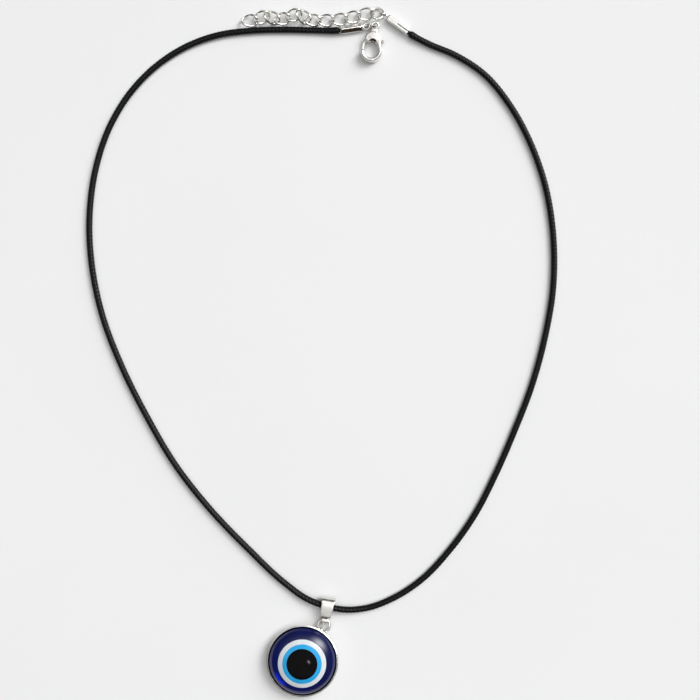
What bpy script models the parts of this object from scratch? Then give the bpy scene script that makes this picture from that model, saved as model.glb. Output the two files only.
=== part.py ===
"""Evil eye pendant on a waxed cord necklace, with a lobster clasp and an extender chain.

The necklace lies flat. The origin is the centre of the pendant's flat back, +Z is up out of the
table, and +Y runs from the pendant to the clasp. Lengths are in metres.
"""

import math

import bmesh
import bpy
from mathutils import Matrix, Vector

MM = 0.001

# Driving dimensions
CORD_RADIUS = 0.9 * MM
PENDANT_RADIUS = 10.2 * MM
BEZEL_HEIGHT = 3.15 * MM
DOME_TOP = 6.9 * MM
RING_WIRE = 0.6 * MM
LINK_WIRE = 0.6 * MM
CLASP_THICKNESS = 2.8 * MM

# Pendant
BACK_RADIUS = 7.5 * MM
FLARE_HEIGHT = 2.5 * MM
SEAT_RADIUS = 9.75 * MM
SEAT_FLOOR_RADIUS = 7.9 * MM
SEAT_FLOOR = 0.9 * MM
SEAT_SHOULDER = 2.75 * MM
GLUE_RADIUS = 7.6 * MM
GLUE_THICKNESS = 0.25 * MM
EYE_RADIUS = 9.5 * MM
EYE_BASE_RADIUS = 7.9 * MM
EYE_SHOULDER = 2.6 * MM
LAYER_GAP = 0.1 * MM
WHITE_RADIUS = 6.8 * MM
BLUE_RADIUS = 5.55 * MM
PUPIL_RADIUS = 4.35 * MM
LOOP_DIRECTION = 58.0
LOOP_DISTANCE = 9.7 * MM
LOOP_HEIGHT = 1.2 * MM
LOOP_RADIUS = 0.8 * MM
LOOP_WIRE = 0.6 * MM

# Pendant's jump ring and the folded bail
BAIL_RING_RADIUS = 1.72 * MM
BAIL_RING_WIRE = 0.75 * MM
BAIL_HEADING = 260.0
BAIL_STRIP = 0.5 * MM
BAIL_TOP_WIDTH = 4.2 * MM
BAIL_TIP_WIDTH = 2.7 * MM
BAIL_END_WIDTH = 1.85 * MM
BAIL_FOLD_RADIUS = 1.6 * MM
BAIL_EYE_RADIUS = 0.95 * MM
BAIL_FOLD_TO_EYE = 4.9 * MM
CORD_IN_BAIL = 0.9 * MM
CORD_HEIGHT_IN_BAIL = 1.65 * MM
CORD_HEADING_IN_BAIL = 164.0

# Cord ends, folded over the cord
LEFT_END_LENGTH = 6.5 * MM
RIGHT_END_LENGTH = 7.4 * MM
END_WIDTH = 1.8 * MM
END_HEIGHT = 1.8 * MM
END_BORE = 1.25 * MM
END_BORE_DEPTH = 4.0 * MM
END_SEAM = 0.2 * MM
END_NECK_RADIUS = 0.38 * MM
END_EYE_RADIUS = 0.85 * MM
LEFT_END_MOUTH = Vector((10.7, 179.45, 1.15)) * MM
LEFT_END_EYE = Vector((18.15, 180.55, 1.2)) * MM
RIGHT_END_MOUTH = Vector((30.2, 178.8, 1.15)) * MM
RIGHT_END_EYE = Vector((22.9, 184.0, 1.25)) * MM
RIGHT_EYE_HEADING = 171.0

# The cord's centreline from the left cord end, down past the pendant and up to the right one
CORD_ROUTE = [
    Vector(point) * MM
    for point in (
        (12.7, 179.75, 1.15),
        (9.7, 179.4, 1.15),
        (4.0, 179.5, 0.9),
        (-5.0, 179.7, 0.9),
        (-15.0, 179.4, 0.9),
        (-24.0, 178.2, 0.9),
        (-33.0, 175.0, 0.9),
        (-41.5, 169.6, 0.9),
        (-49.0, 162.0, 0.9),
        (-55.2, 151.8, 0.9),
        (-59.2, 139.6, 0.9),
        (-60.9, 126.0, 0.9),
        (-60.3, 113.0, 0.9),
        (-57.3, 98.4, 0.9),
        (-51.6, 83.4, 0.9),
        (-44.6, 69.4, 0.9),
        (-36.2, 55.2, 0.9),
        (-26.8, 43.2, 0.9),
        (-15.6, 31.5, 0.9),
        (-5.0, 21.6, 0.9),
        (1.0, 17.4, 1.35),
        (6.9, 15.2, 1.65),
        (12.4, 14.2, 1.35),
        (18.2, 14.6, 0.9),
        (25.4, 17.2, 0.9),
        (33.8, 22.6, 0.9),
        (42.0, 31.2, 0.9),
        (49.0, 41.0, 0.9),
        (55.0, 52.6, 0.9),
        (60.4, 65.0, 0.9),
        (65.2, 77.4, 0.9),
        (69.2, 92.0, 0.9),
        (71.5, 106.0, 0.9),
        (71.6, 120.0, 0.9),
        (69.4, 134.6, 0.9),
        (65.0, 147.4, 0.9),
        (59.4, 157.8, 0.9),
        (51.8, 167.0, 0.9),
        (43.2, 172.6, 0.9),
        (36.0, 175.6, 0.95),
        (31.2, 178.1, 1.15),
        (28.6, 179.95, 1.15),
    )
]
CORD_POINTS = 70
# Near each end, the distance along the cord and its width there, squeezed inside the cord end
CORD_END_STATIONS = (
    (0.0, 0.6),
    (2.25 * MM, 0.6),
    (2.3 * MM, 1.08),
    (3.2 * MM, 1.14),
    (5.0 * MM, 1.0),
)

# Clasp side, with the gate on the clasp's local +X side and its length along local +Y
CLASP_RING_RADIUS = 1.3 * MM
CLASP_EYE = Vector((20.65, 180.75, 1.4)) * MM
CLASP_HEADING = 261.5
CLASP_EYE_RADIUS = 0.95 * MM
CLASP_EYE_WIRE = 0.7 * MM
NECK_WIDTH = 1.7 * MM
HEAD_RADIUS = 2.35 * MM
HEAD_AT = 4.3 * MM
BELLY_RADIUS = 3.0 * MM
BELLY_AT = 7.55 * MM
MOUTH_TOP_RADIUS = 1.45 * MM
MOUTH_TOP_AT = 6.15 * MM
MOUTH_RADIUS = 2.1 * MM
MOUTH_AT = 7.4 * MM
GATE_EDGE = 1.0 * MM
GATE_TOP = 4.9 * MM
GATE_BOTTOM = 7.5 * MM
SLOT_THICKNESS = 1.5 * MM
SLOT_TOP = 2.6 * MM
SLOT_BOTTOM = 4.85 * MM
LEVER_PIVOT = (0.9 * MM, 4.1 * MM)
LEVER_PATH = ((-3.2, 4.3), (-1.6, 4.28), (0.9, 4.1), (2.2, 4.9), (2.52, 5.6), (2.5, 7.2))
LEVER_RADIUS = 0.42 * MM
LEVER_FLATNESS = 0.75
LEVER_DROP = 0.3 * MM
BOSS_RADIUS = 0.7 * MM
BOSS_THICKNESS = 0.8 * MM
PIN_RADIUS = 0.3 * MM
PIN_GAP = 0.07 * MM
PIN_LENGTH = 2.6 * MM
SPRING_RADIUS = 0.55 * MM
SPRING_WIRE = 0.18 * MM
SPRING_PITCH = 0.2 * MM
SPRING_TURNS = 1.75
SPRING_START = 0.25 * MM

# Chain side
CHAIN_RING_RADIUS = 1.78 * MM
CHAIN_RING_WIRE = 0.65 * MM
CHAIN_RING_TILT = 20.0
LINK_HALF_LENGTH = 2.3 * MM
LINK_HALF_WIDTH = 1.55 * MM
LINK_SQUARENESS = 2.4
LINK_TWIST = 45.0
FIRST_LINK = Vector((17.95, 184.0, 1.25)) * MM

# Each link's heading, rise and roll in degrees, and its distance from the link before it in mm
CHAIN_LAY = (
    (192, 0, -10, 0.0),
    (192, -3, -5, 3.85),
    (186, -1.5, 0, 3.85),
    (182, 0, 0, 3.85),
    (176, 1.5, 0, 3.8),
    (144, 15, 0, 2.9),
    (202, -8, -10, 3.2),
    (190, -5, 0, 3.5),
    (156, 11.5, -5, 3.1),
    (204, -8, -10, 3.3),
    (182, -3, 0, 3.6),
)
SIDEWAYS_LINKS = (2, 4, 8, 10)

COLOURS = {
    "cord": (0.012, 0.012, 0.014, 0.35, 0.0),
    "steel": (0.72, 0.72, 0.70, 0.22, 1.0),
    "glue": (0.85, 0.83, 0.75, 0.4, 0.0),
    "navy": (0.01, 0.012, 0.14, 0.05, 0.0),
    "white": (0.82, 0.84, 0.88, 0.1, 0.0),
    "sky": (0.03, 0.38, 0.72, 0.1, 0.0),
    "black": (0.004, 0.004, 0.005, 0.05, 0.0),
}


def collection(name):
    made = bpy.data.collections.new(name)
    bpy.context.scene.collection.children.link(made)
    return made


def clear_scene():
    for obj in list(bpy.data.objects):
        bpy.data.objects.remove(obj, do_unlink=True)


def material(name, finish):
    red, green, blue, roughness, metallic = COLOURS[finish]
    made = bpy.data.materials.new(name)
    made.use_nodes = True
    shader = made.node_tree.nodes["Principled BSDF"]
    shader.inputs["Base Color"].default_value = (red, green, blue, 1.0)
    shader.inputs["Roughness"].default_value = roughness
    shader.inputs["Metallic"].default_value = metallic
    return made


def add(name, data, finish="steel", place=None):
    """A part made of this mesh or curve, with its own material."""
    obj = bpy.data.objects.new(name, data)
    PARTS.objects.link(obj)
    obj.matrix_world = place or Matrix()
    if obj.type == "MESH":
        data.shade_smooth()
        data.set_sharp_from_angle(angle=math.radians(35))
    data.materials.clear()
    data.materials.append(material(name, finish))
    return obj


def heading(degrees, length=1.0):
    angle = math.radians(degrees)
    return Vector((math.cos(angle), math.sin(angle), 0.0)) * length


def frame(origin, x_axis, z_axis):
    """A placement with this X axis, and Z as close as it can be to the given one."""
    x = x_axis.normalized()
    y = z_axis.cross(x).normalized()
    z = x.cross(y)
    matrix = Matrix((x, y, z)).transposed().to_4x4()
    matrix.translation = origin
    return matrix


def axle(origin, direction):
    """A placement whose Z axis runs along a joint's axis."""
    place = direction.to_track_quat("Z", "Y").to_matrix().to_4x4()
    place.translation = origin
    return place


def pivot(name, place, parent, *objects):
    """An empty on a joint's axis, holding the parts that turn about it."""
    empty = bpy.data.objects.new(name, None)
    PARTS.objects.link(empty)
    empty.empty_display_size = 2 * MM
    empty.matrix_world = place
    if parent:
        empty.parent = parent
        empty.matrix_parent_inverse = parent.matrix_world.inverted()
    bpy.context.view_layer.update()
    for obj in objects:
        obj.parent = empty
        obj.matrix_parent_inverse = place.inverted()
    return empty


def smooth_route(points, steps=16):
    """Points on a smooth curve through the given ones, each with its distance along the curve."""
    chords = [(b - a).length for a, b in zip(points, points[1:])]
    slopes = [(b - a) / chord for a, b, chord in zip(points, points[1:], chords)]
    tangents = [slopes[0]]
    for before, after, near, far in zip(slopes, slopes[1:], chords, chords[1:]):
        tangents.append((before * far + after * near) / (near + far))
    tangents.append(slopes[-1])
    fine = [points[0].copy()]
    for index, chord in enumerate(chords):
        start, end = points[index], points[index + 1]
        leave, arrive = tangents[index] * chord, tangents[index + 1] * chord
        for step in range(1, steps + 1):
            t = step / steps
            fine.append(
                start * (2 * t**3 - 3 * t**2 + 1)
                + leave * (t**3 - 2 * t**2 + t)
                + end * (3 * t**2 - 2 * t**3)
                + arrive * (t**3 - t**2)
            )
    along = [0.0]
    for a, b in zip(fine, fine[1:]):
        along.append(along[-1] + (b - a).length)
    return fine, along


def route_point(fine, along, distance):
    """The point this far along a route."""
    after = next((i for i, d in enumerate(along) if d >= distance), len(along) - 1)
    after = max(after, 1)
    share = (distance - along[after - 1]) / (along[after] - along[after - 1])
    return fine[after - 1].lerp(fine[after], share)


def wire_curve(name, points, radius, closed=False, widths=None):
    """A round wire along points, as a curve with filled caps."""
    curve = bpy.data.curves.new(name, "CURVE")
    curve.dimensions = "3D"
    curve.bevel_depth = radius
    curve.bevel_resolution = 2
    curve.use_fill_caps = not closed
    spline = curve.splines.new("POLY")
    spline.points.add(len(points) - 1)
    spline.use_cyclic_u = closed
    for index, point in enumerate(points):
        spline.points[index].co = (*point, 1.0)
        spline.points[index].radius = widths[index] if widths else 1.0
    return curve


def plate_curve(name, outline, thickness):
    """A flat outline in local XY, as thick as given and centred on Z."""
    curve = bpy.data.curves.new(name, "CURVE")
    curve.dimensions = "2D"
    curve.fill_mode = "BOTH"
    curve.extrude = thickness / 2
    spline = curve.splines.new("POLY")
    spline.points.add(len(outline) - 1)
    spline.use_cyclic_u = True
    for index, (x, y) in enumerate(outline):
        spline.points[index].co = (x, y, 0.0, 1.0)
    return curve


def as_mesh(curve):
    """The mesh of a curve, with its caps welded on."""
    helper = bpy.data.objects.new("helper", curve)
    bpy.context.scene.collection.objects.link(helper)
    graph = bpy.context.evaluated_depsgraph_get()
    mesh = bpy.data.meshes.new_from_object(helper.evaluated_get(graph))
    bpy.data.objects.remove(helper, do_unlink=True)
    work = bmesh.new()
    work.from_mesh(mesh)
    bmesh.ops.remove_doubles(work, verts=work.verts, dist=1e-6)
    bmesh.ops.recalc_face_normals(work, faces=work.faces)
    work.to_mesh(mesh)
    work.free()
    return mesh


def primitive(make, place=None, **sizes):
    """A mesh from one of bmesh's primitives, moved by place."""
    work = bmesh.new()
    make(work, matrix=place or Matrix(), **sizes)
    mesh = bpy.data.meshes.new("primitive")
    work.to_mesh(mesh)
    work.free()
    return mesh


def block(size, centre):
    place = Matrix.Translation(centre) @ Matrix.Diagonal((*size, 1.0))
    return primitive(bmesh.ops.create_cube, place, size=1.0)


def rod(start, end, radius, segments=16):
    return primitive(
        bmesh.ops.create_cone,
        axle((start + end) / 2, end - start),
        cap_ends=True,
        segments=segments,
        radius1=radius,
        radius2=radius,
        depth=(end - start).length,
    )


def upright(x, y, middle, height, radius, segments=16):
    """A rod along local Z, centred on this height."""
    half = Vector((0, 0, height / 2))
    centre = Vector((x, y, middle))
    return rod(centre - half, centre + half, radius, segments)


def torus(radius, wire, around=24, section=10):
    bpy.ops.mesh.primitive_torus_add(
        major_radius=radius,
        minor_radius=wire / 2,
        major_segments=around,
        minor_segments=section,
    )
    helper = bpy.context.object
    mesh = helper.data
    bpy.data.objects.remove(helper, do_unlink=True)
    return mesh


def moved(mesh, place):
    mesh.transform(place)
    return mesh


def combine(obj, mesh, operation):
    """Joins a mesh to obj, or cuts it away, in obj's own frame."""
    cutter = bpy.data.objects.new(f"{obj.name}_{operation.lower()}", mesh)
    CUTTERS.objects.link(cutter)
    cutter.matrix_world = obj.matrix_basis
    cutter.hide_render = True
    cutter.display_type = "WIRE"
    modifier = obj.modifiers.new(operation.title(), "BOOLEAN")
    modifier.operation = operation
    modifier.solver = "EXACT"
    modifier.object = cutter
    return cutter


def turned(name, profile, finish, steps):
    """A profile of (radius, height) points, turned about Z. It runs down its outer side."""
    mesh = bpy.data.meshes.new(name)
    corners = [(radius, 0.0, height) for radius, height in profile]
    mesh.from_pydata(corners, [(i, i + 1) for i in range(len(corners) - 1)], [])
    obj = add(name, mesh, finish)
    screw = obj.modifiers.new("Turn", "SCREW")
    screw.steps = steps
    screw.render_steps = steps
    screw.use_merge_vertices = True
    screw.merge_threshold = 1e-6
    return obj


def arc(centre, radius, start, end, count):
    """Points on an arc, from start to end degrees."""
    points = []
    for index in range(count + 1):
        angle = math.radians(start + (end - start) * index / count)
        points.append(
            (
                centre[0] + radius * math.cos(angle),
                centre[1] + radius * math.sin(angle),
            )
        )
    return points


def egg(small, small_at, large, large_at, count=12):
    """The outline around two circles on the Y axis, the large one further along it."""
    lean = math.degrees(math.asin((large - small) / (large_at - small_at)))
    lower = arc((0.0, large_at), large, -lean, 180 + lean, count)
    upper = arc((0.0, small_at), small, 180 + lean, 360 - lean, count)
    return lower + upper


# Pendant


def dome_height(radius):
    """The height of the eye's glossy surface at this distance from its axis."""
    share = math.sqrt(max(0.0, 1.0 - (radius / EYE_RADIUS) ** 2))
    return EYE_SHOULDER + (DOME_TOP - EYE_SHOULDER) * share


def dome_profile(low_radius, high_radius, steps):
    """Points on the dome from the higher, inner radius down to the lower, outer one."""
    angles = [math.asin(radius / EYE_RADIUS) for radius in (high_radius, low_radius)]
    points = []
    for index in range(steps + 1):
        angle = angles[0] + (angles[1] - angles[0]) * index / steps
        radius = EYE_RADIUS * math.sin(angle)
        points.append((radius, dome_height(radius)))
    return points


def make_bezel():
    """A cast tray with a flat back, a flared wall and a loop for the jump ring."""
    profile = [
        (0.0, SEAT_FLOOR),
        (SEAT_FLOOR_RADIUS, SEAT_FLOOR),
        (SEAT_RADIUS, SEAT_SHOULDER),
        (SEAT_RADIUS, BEZEL_HEIGHT - 0.1 * MM),
        (SEAT_RADIUS + 0.12 * MM, BEZEL_HEIGHT),
        (PENDANT_RADIUS - 0.12 * MM, BEZEL_HEIGHT - 0.05 * MM),
        (PENDANT_RADIUS, BEZEL_HEIGHT - 0.25 * MM),
        (PENDANT_RADIUS, FLARE_HEIGHT),
        (BACK_RADIUS + 0.3 * MM, 0.15 * MM),
        (BACK_RADIUS, 0.0),
        (0.0, 0.0),
    ]
    bezel = turned("bezel", profile, "steel", 56)
    outward = heading(LOOP_DIRECTION)
    sideways = outward.cross(Vector((0, 0, 1)))
    centre = outward * LOOP_DISTANCE + Vector((0, 0, LOOP_HEIGHT))
    loop = moved(torus(LOOP_RADIUS, LOOP_WIRE), frame(centre, outward, sideways))
    combine(bezel, loop, "UNION")
    return bezel


def make_eye():
    """The glue film and the four layers of the eye, each a slice of one glossy dome."""
    base = SEAT_FLOOR + GLUE_THICKNESS + 2 * LAYER_GAP
    glue_top = SEAT_FLOOR + LAYER_GAP + GLUE_THICKNESS
    glue = [
        (0.0, glue_top),
        (GLUE_RADIUS, glue_top),
        (GLUE_RADIUS, SEAT_FLOOR + LAYER_GAP),
        (0.0, SEAT_FLOOR + LAYER_GAP),
    ]
    layers = [turned("glue_film", glue, "glue", 32)]
    cuts = [
        ("eye_base", "navy", None, WHITE_RADIUS, 7),
        ("eye_white", "white", WHITE_RADIUS, BLUE_RADIUS, 2),
        ("eye_blue", "sky", BLUE_RADIUS, PUPIL_RADIUS, 2),
        ("eye_pupil", "black", PUPIL_RADIUS, 0.0, 4),
    ]
    for name, finish, outer, inner, steps in cuts:
        profile = dome_profile(outer or EYE_RADIUS, inner, steps)
        if inner:
            profile.insert(0, (0.0, dome_height(inner)))
        if outer:
            floor = dome_height(outer) + LAYER_GAP
            rim = EYE_RADIUS * math.sqrt(
                1.0 - ((floor - EYE_SHOULDER) / (DOME_TOP - EYE_SHOULDER)) ** 2
            )
            profile[-1] = (rim, floor)
            profile.append((0.0, floor))
        else:
            profile += [(EYE_BASE_RADIUS, base), (0.0, base)]
        layers.append(turned(name, profile, finish, 48))
    return layers


def bail_eye_centre():
    """Where the bail's rolled eye holds the jump ring, along the line out from the loop."""
    ring_centre = heading(LOOP_DIRECTION, LOOP_DISTANCE + BAIL_RING_RADIUS)
    ring_centre.z = LOOP_HEIGHT
    return ring_centre - heading(BAIL_HEADING, BAIL_RING_RADIUS - 0.15 * MM)


def make_bail():
    """A strip folded over the cord. Its back leaf is rolled into an eye for the jump ring."""
    eye = (BAIL_FOLD_TO_EYE, BAIL_EYE_RADIUS + BAIL_STRIP / 2)
    fold = (0.0, BAIL_FOLD_RADIUS + BAIL_STRIP / 2)
    tip = 3.8 * MM
    leaf = [(tip, 2.78 * MM), (2.8 * MM, 3.04 * MM), (1.4 * MM, 3.32 * MM)]
    back = arc(fold, BAIL_FOLD_RADIUS, 78, 270, 12)
    back += arc(eye, BAIL_EYE_RADIUS, 270, 270 + 245, 14)
    start = -BAIL_FOLD_RADIUS
    work = bmesh.new()
    rows = []
    for points, end, width in (
        (leaf, tip, BAIL_TIP_WIDTH),
        (back, eye[0] - BAIL_EYE_RADIUS, BAIL_END_WIDTH),
    ):
        for along, height in points:
            share = min(1.0, (along - start) / (end - start))
            half = (BAIL_TOP_WIDTH + (width - BAIL_TOP_WIDTH) * share) / 2
            rows.append(
                [
                    work.verts.new((along, side * half, height - eye[1]))
                    for side in (-1, 1)
                ]
            )
    for (a, b), (c, d) in zip(rows, rows[1:]):
        work.faces.new((a, b, d, c))
    mesh = bpy.data.meshes.new("bail")
    work.to_mesh(mesh)
    work.free()
    mesh.transform(Matrix.Translation((-BAIL_FOLD_TO_EYE, 0, 0)))
    place = frame(bail_eye_centre(), heading(BAIL_HEADING), Vector((0, 0, 1)))
    bail = add("bail", mesh, place=place)
    thick = bail.modifiers.new("Thickness", "SOLIDIFY")
    thick.thickness = BAIL_STRIP
    thick.offset = 0.0
    return bail


def make_bail_ring():
    centre = heading(LOOP_DIRECTION, LOOP_DISTANCE + BAIL_RING_RADIUS)
    centre.z = LOOP_HEIGHT
    ring = torus(BAIL_RING_RADIUS, BAIL_RING_WIRE, 28)
    return add("bail_ring", ring, place=Matrix.Translation(centre))


# Cord and its ends


def make_cord():
    """The cord, squeezed inside each cord end and swollen just outside it."""
    fine, along = smooth_route(CORD_ROUTE)
    first = CORD_END_STATIONS[-1][0]
    last = along[-1] - first
    even = [first + (last - first) * i / CORD_POINTS for i in range(1, CORD_POINTS)]
    stations = list(CORD_END_STATIONS)
    stations += [(distance, 1.0) for distance in even]
    stations += [(along[-1] - at, width) for at, width in reversed(CORD_END_STATIONS)]
    widths = [width for _, width in stations]
    points = [route_point(fine, along, distance) for distance, _ in stations]
    for point, width in zip(points, widths):
        point.z = max(point.z, CORD_RADIUS * width)
    return add("cord", wire_curve("cord", points, CORD_RADIUS, widths=widths), "cord")


def make_cord_end(name, mouth, eye_place, length):
    """A plate folded over the cord into a square sleeve, with an eye on its closed tip."""
    eye = eye_place.translation
    place = frame(mouth, (eye - mouth).to_2d().to_3d(), Vector((0, 0, 1)))
    sleeve = block((length, END_WIDTH, END_HEIGHT), Vector((length / 2, 0, 0)))
    end = add(name, sleeve, place=place)
    rounded = end.modifiers.new("Rounded", "BEVEL")
    rounded.width = 0.3 * MM
    rounded.segments = 2
    half_bore, half_seam = END_BORE / 2, END_SEAM / 2
    keyhole = [
        (-half_bore, -half_bore),
        (half_bore, -half_bore),
        (half_bore, half_bore),
        (half_seam, half_bore),
        (half_seam, END_HEIGHT),
        (-half_seam, END_HEIGHT),
        (-half_seam, half_bore),
        (-half_bore, half_bore),
    ]
    along = frame(Vector(), Vector((0, 1, 0)), Vector((1, 0, 0)))
    combine(end, moved(plate(keyhole, 2 * END_BORE_DEPTH), along), "DIFFERENCE")
    local_eye = place.inverted() @ eye_place
    rim = local_eye @ Vector((-END_EYE_RADIUS, 0, 0))
    root = Vector((length - 1.0 * MM, 0, 0))
    combine(end, rod(root, rim, END_NECK_RADIUS, 12), "UNION")
    combine(end, moved(torus(END_EYE_RADIUS, RING_WIRE), local_eye), "UNION")
    return end


# Clasp


def make_clasp_ring(first_eye, second_eye):
    """An upright jump ring through two eyes that lie flat."""
    middle = (first_eye + second_eye) / 2
    chord = second_eye - first_eye
    side = chord.cross(Vector((0, 0, 1))).normalized()
    rise = math.sqrt(CLASP_RING_RADIUS**2 - (chord.length / 2) ** 2)
    centre = middle + side.cross(chord).normalized() * rise
    place = frame(centre, chord, side)
    return add("clasp_ring", torus(CLASP_RING_RADIUS, RING_WIRE), place=place)


def plate(outline, thickness):
    return as_mesh(plate_curve("plate", outline, thickness))


def span_block(x_range, y_range, thickness):
    """A block over these ranges of local X and Y, centred on Z."""
    size = (x_range[1] - x_range[0], y_range[1] - y_range[0], thickness)
    return block(size, Vector((sum(x_range) / 2, sum(y_range) / 2, 0)))


def make_clasp_body(place):
    """The hook: an egg-shaped frame with a slotted head, an eye and a gap for the gate."""
    frame_outline = egg(HEAD_RADIUS, HEAD_AT, BELLY_RADIUS, BELLY_AT)
    body = add("clasp_body", plate(frame_outline, CLASP_THICKNESS), place=place)
    rounded = body.modifiers.new("Rounded", "BEVEL")
    rounded.width = 0.55 * MM
    rounded.segments = 2
    rounded.limit_method = "ANGLE"
    wide = 2 * CLASP_THICKNESS
    outside = 2 * BELLY_RADIUS
    mouth = egg(MOUTH_TOP_RADIUS, MOUTH_TOP_AT, MOUTH_RADIUS, MOUTH_AT)
    combine(body, plate(mouth, wide), "DIFFERENCE")
    gate_gap = span_block((GATE_EDGE, outside), (GATE_TOP, GATE_BOTTOM), wide)
    combine(body, gate_gap, "DIFFERENCE")
    slot = span_block((-outside, outside), (SLOT_TOP, SLOT_BOTTOM), SLOT_THICKNESS)
    combine(body, slot, "DIFFERENCE")
    elbow_room = span_block(
        (LEVER_PIVOT[0] - 0.4 * MM, outside),
        (SLOT_TOP + 0.3 * MM, GATE_TOP + 0.15 * MM),
        SLOT_THICKNESS - 0.02 * MM,
    )
    combine(body, elbow_room, "DIFFERENCE")
    combine(body, upright(*LEVER_PIVOT, 0.0, wide, PIN_RADIUS + PIN_GAP), "DIFFERENCE")
    neck = span_block(
        (-NECK_WIDTH / 2, NECK_WIDTH / 2),
        (CLASP_EYE_RADIUS + 0.15 * MM, HEAD_AT - HEAD_RADIUS + 0.4 * MM),
        1.1 * MM,
    )
    combine(body, neck, "UNION")
    combine(body, torus(CLASP_EYE_RADIUS, CLASP_EYE_WIRE), "UNION")
    return body


def make_clasp_lever(place):
    """The gate, with its thumb knob at one end and the pivot boss in between."""
    points = [Vector((x * MM, y * MM, 0)) for x, y in LEVER_PATH]
    widths = [1.25, 0.9, 1.0, 1.0, 1.0, 0.85]
    lever_mesh = as_mesh(wire_curve("lever", points, LEVER_RADIUS, widths=widths))
    flatten = Matrix.Diagonal((1.0, 1.0, LEVER_FLATNESS, 1.0))
    sunk = Matrix.Translation((0, 0, -LEVER_DROP))
    lever = add("clasp_lever", moved(lever_mesh, sunk @ flatten), place=place)
    boss = upright(*LEVER_PIVOT, -LEVER_DROP, BOSS_THICKNESS, BOSS_RADIUS, 24)
    combine(lever, boss, "UNION")
    hole = upright(*LEVER_PIVOT, 0.0, CLASP_THICKNESS, PIN_RADIUS + PIN_GAP)
    combine(lever, hole, "DIFFERENCE")
    return lever


def make_clasp_pin(place):
    pin = upright(*LEVER_PIVOT, 0.0, PIN_LENGTH, PIN_RADIUS)
    return add("clasp_pin", pin, place=place)


def make_clasp_spring(place):
    """A torsion spring wound round the pin, beside the lever."""
    steps = 12
    points = []
    for index in range(int(steps * SPRING_TURNS) + 1):
        turn = index / steps
        angle = 2 * math.pi * turn
        points.append(
            Vector(
                (
                    LEVER_PIVOT[0] + SPRING_RADIUS * math.cos(angle),
                    LEVER_PIVOT[1] + SPRING_RADIUS * math.sin(angle),
                    SPRING_START + SPRING_PITCH * turn,
                )
            )
        )
    curve = wire_curve("clasp_spring", points, SPRING_WIRE / 2)
    return add("clasp_spring", curve, place=place)


# Chain


def make_chain_ring():
    """A jump ring through the right cord end's upright eye, leaning on the first link."""
    reach = CHAIN_RING_RADIUS - 0.1 * MM
    centre = RIGHT_END_EYE + heading(RIGHT_EYE_HEADING, reach)
    ring = torus(CHAIN_RING_RADIUS, CHAIN_RING_WIRE, 28)
    tilt = Matrix.Rotation(math.radians(CHAIN_RING_TILT), 4, heading(RIGHT_EYE_HEADING))
    return add("chain_ring", ring, place=Matrix.Translation(centre) @ tilt)


def link_points(count=22):
    """A link's centreline: a squared oval, twisted about its length so that links lie flat."""
    points = []
    for index in range(count):
        angle = 2 * math.pi * index / count
        x, y = math.cos(angle), math.sin(angle)
        power = 2 / LINK_SQUARENESS
        x = LINK_HALF_LENGTH * math.copysign(abs(x) ** power, x)
        y = LINK_HALF_WIDTH * math.copysign(abs(y) ** power, y)
        twist = math.radians(LINK_TWIST) * x / LINK_HALF_LENGTH
        points.append(Vector((x, y * math.cos(twist), y * math.sin(twist))))
    return points


def chain_places():
    """Each link's placement, and the point where it hinges on the link before it."""
    places = []
    centre = FIRST_LINK
    before = None
    for yaw, rise, roll, spacing in CHAIN_LAY:
        turn = (
            Matrix.Rotation(math.radians(yaw), 4, "Z")
            @ Matrix.Rotation(math.radians(-rise), 4, "Y")
            @ Matrix.Rotation(math.radians(roll), 4, "X")
        )
        ahead = turn.to_3x3() @ Vector((1, 0, 0))
        if before:
            hinge = centre + before * spacing * MM / 2
            centre = hinge + ahead * spacing * MM / 2
        else:
            hinge = centre - ahead * (LINK_HALF_LENGTH - 0.35 * MM)
        places.append((Matrix.Translation(centre) @ turn, hinge, yaw))
        before = ahead
    return places


def make_chain(parent):
    """The links, each hinged on the one before: most lift, and some swing sideways."""
    last_yaw = CHAIN_LAY[0][0]
    for index, (place, hinge, yaw) in enumerate(chain_places()):
        name = f"chain_link_{index + 1:02d}"
        curve = wire_curve(name, link_points(), LINK_WIRE / 2, closed=True)
        link = add(name, curve, place=place)
        if index + 1 in SIDEWAYS_LINKS:
            direction = Vector((0, 0, -1))
        else:
            direction = heading((yaw + last_yaw) / 2 - 90)
        parent = pivot(f"{name}_axis", axle(hinge, direction), parent, link)
        last_yaw = yaw


# Assembly


def assemble_pendant():
    up = Vector((0, 0, 1))
    outward = heading(LOOP_DIRECTION)
    bail_eye = bail_eye_centre()
    cord_in_bail = bail_eye - heading(BAIL_HEADING, BAIL_FOLD_TO_EYE - CORD_IN_BAIL)
    cord_in_bail.z = CORD_HEIGHT_IN_BAIL
    loop = outward * LOOP_DISTANCE + up * LOOP_HEIGHT
    bail_axis = axle(cord_in_bail, heading(CORD_HEADING_IN_BAIL))
    swing = pivot("bail_axis", bail_axis, None, make_bail())
    ring_axis = axle(bail_eye, heading(BAIL_HEADING - 90))
    swing = pivot("bail_ring_axis", ring_axis, swing, make_bail_ring())
    loop_axis = axle(loop, outward.cross(up) * -1)
    pivot("pendant_axis", loop_axis, swing, make_bezel(), *make_eye())


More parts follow.
